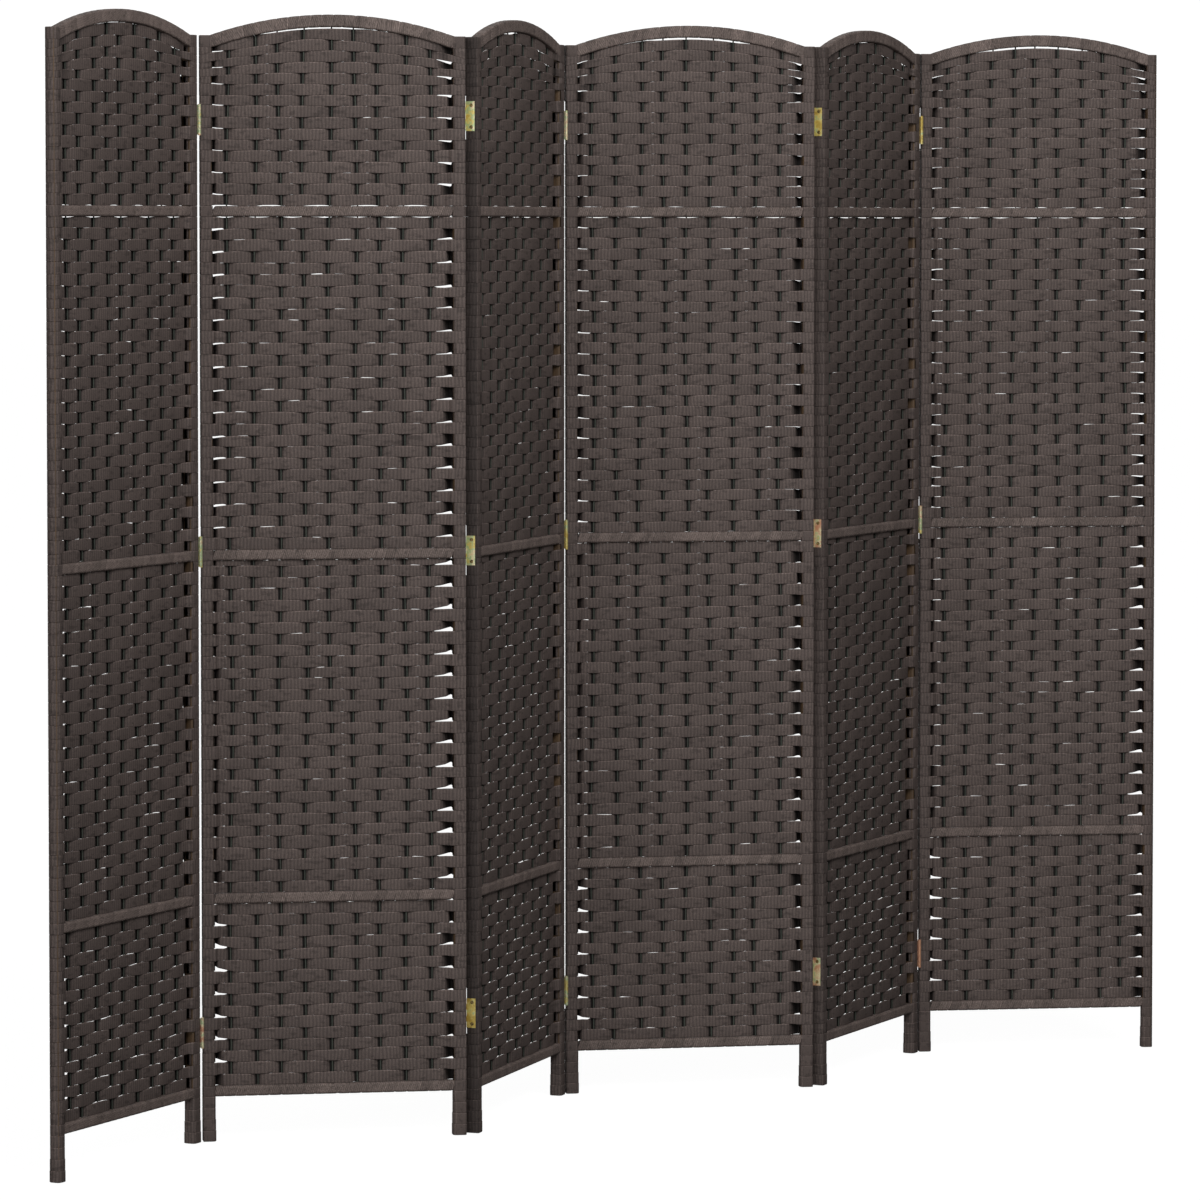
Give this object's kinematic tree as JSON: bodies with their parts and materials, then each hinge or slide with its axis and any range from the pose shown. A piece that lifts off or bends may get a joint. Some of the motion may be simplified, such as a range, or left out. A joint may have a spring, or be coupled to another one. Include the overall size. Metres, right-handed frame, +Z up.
{
  "type": "folding screen",
  "caption": "Free-standing room divider of hinged, arched panels woven from dark brown flat fibre over thin stakes; it folds flat in a zigzag stack.",
  "frame": {"origin": "on the floor, at the middle of the box that holds the standing screen", "axes": "+X along the screen from its first panel to its last, +Y from its front to its back, +Z up"},
  "size_m": [2.179, 0.2354, 1.7],
  "materials": {
    "stile_wood": "bare pine, unvarnished",
    "bound_rail": "wooden bar bound closely with dark brown flat fibre, matt",
    "stake": "thin grey-green rod, matt",
    "woven_fibre": "flat dark brown paper-fibre band with fine ribs, matt",
    "hinge_plate": "yellow zinc plating with a rainbow sheen",
    "hinge_pin": "yellow zinc plating",
    "screw_metal": "yellow zinc plated countersunk screws"
  },
  "bodies": {
    "panel_1": {"panel_1_left_stile": "stile_wood", "panel_1_right_stile": "stile_wood", "panel_1_top_rail": "bound_rail", "panel_1_cross_rails": "bound_rail", "panel_1_stakes": "stake", "panel_1_weave": "woven_fibre", "panel_1_hinge_screws": "screw_metal", "hinge_1_2_left_leaves": "hinge_plate", "hinge_1_2_pins": "hinge_pin"},
    "panel_2": {"panel_2_left_stile": "stile_wood", "panel_2_right_stile": "stile_wood", "panel_2_top_rail": "bound_rail", "panel_2_cross_rails": "bound_rail", "panel_2_stakes": "stake", "panel_2_weave": "woven_fibre", "panel_2_hinge_screws": "screw_metal", "hinge_2_3_left_leaves": "hinge_plate", "hinge_2_3_pins": "hinge_pin", "hinge_1_2_right_leaves": "hinge_plate"},
    "panel_3": {"panel_3_left_stile": "stile_wood", "panel_3_right_stile": "stile_wood", "panel_3_top_rail": "bound_rail", "panel_3_cross_rails": "bound_rail", "panel_3_stakes": "stake", "panel_3_weave": "woven_fibre", "panel_3_hinge_screws": "screw_metal", "hinge_3_4_left_leaves": "hinge_plate", "hinge_3_4_pins": "hinge_pin", "hinge_2_3_right_leaves": "hinge_plate"},
    "panel_4": {"panel_4_left_stile": "stile_wood", "panel_4_right_stile": "stile_wood", "panel_4_top_rail": "bound_rail", "panel_4_cross_rails": "bound_rail", "panel_4_stakes": "stake", "panel_4_weave": "woven_fibre", "panel_4_hinge_screws": "screw_metal", "hinge_4_5_left_leaves": "hinge_plate", "hinge_4_5_pins": "hinge_pin", "hinge_3_4_right_leaves": "hinge_plate"},
    "panel_5": {"panel_5_left_stile": "stile_wood", "panel_5_right_stile": "stile_wood", "panel_5_top_rail": "bound_rail", "panel_5_cross_rails": "bound_rail", "panel_5_stakes": "stake", "panel_5_weave": "woven_fibre", "panel_5_hinge_screws": "screw_metal", "hinge_5_6_left_leaves": "hinge_plate", "hinge_5_6_pins": "hinge_pin", "hinge_4_5_right_leaves": "hinge_plate"},
    "panel_6": {"panel_6_left_stile": "stile_wood", "panel_6_right_stile": "stile_wood", "panel_6_top_rail": "bound_rail", "panel_6_cross_rails": "bound_rail", "panel_6_stakes": "stake", "panel_6_weave": "woven_fibre", "panel_6_hinge_screws": "screw_metal", "hinge_5_6_right_leaves": "hinge_plate"}
  },
  "joints": [
    {"name": "fold_1_2", "type": "hinge", "parent": "panel_1", "child": "panel_2", "pos_m": [-0.72048, 0.06979, 0.85], "axis": [0, 0, -1], "range_deg": [-54.3, 125.7]},
    {"name": "fold_2_3", "type": "hinge", "parent": "panel_2", "child": "panel_3", "pos_m": [-0.35522, -0.10123, 0.85], "axis": [0, 0, 1], "range_deg": [-62, 118]},
    {"name": "fold_3_4", "type": "hinge", "parent": "panel_3", "child": "panel_4", "pos_m": [-0.00625, 0.10097, 0.85], "axis": [0, 0, -1], "range_deg": [-60.9, 119.1]},
    {"name": "fold_4_5", "type": "hinge", "parent": "panel_4", "child": "panel_5", "pos_m": [0.36223, -0.063, 0.85], "axis": [0, 0, 1], "range_deg": [-54.1, 125.9]},
    {"name": "fold_5_6", "type": "hinge", "parent": "panel_5", "child": "panel_6", "pos_m": [0.73268, 0.09646, 0.85], "axis": [0, 0, -1], "range_deg": [-56.6, 123.4]}
  ]
}
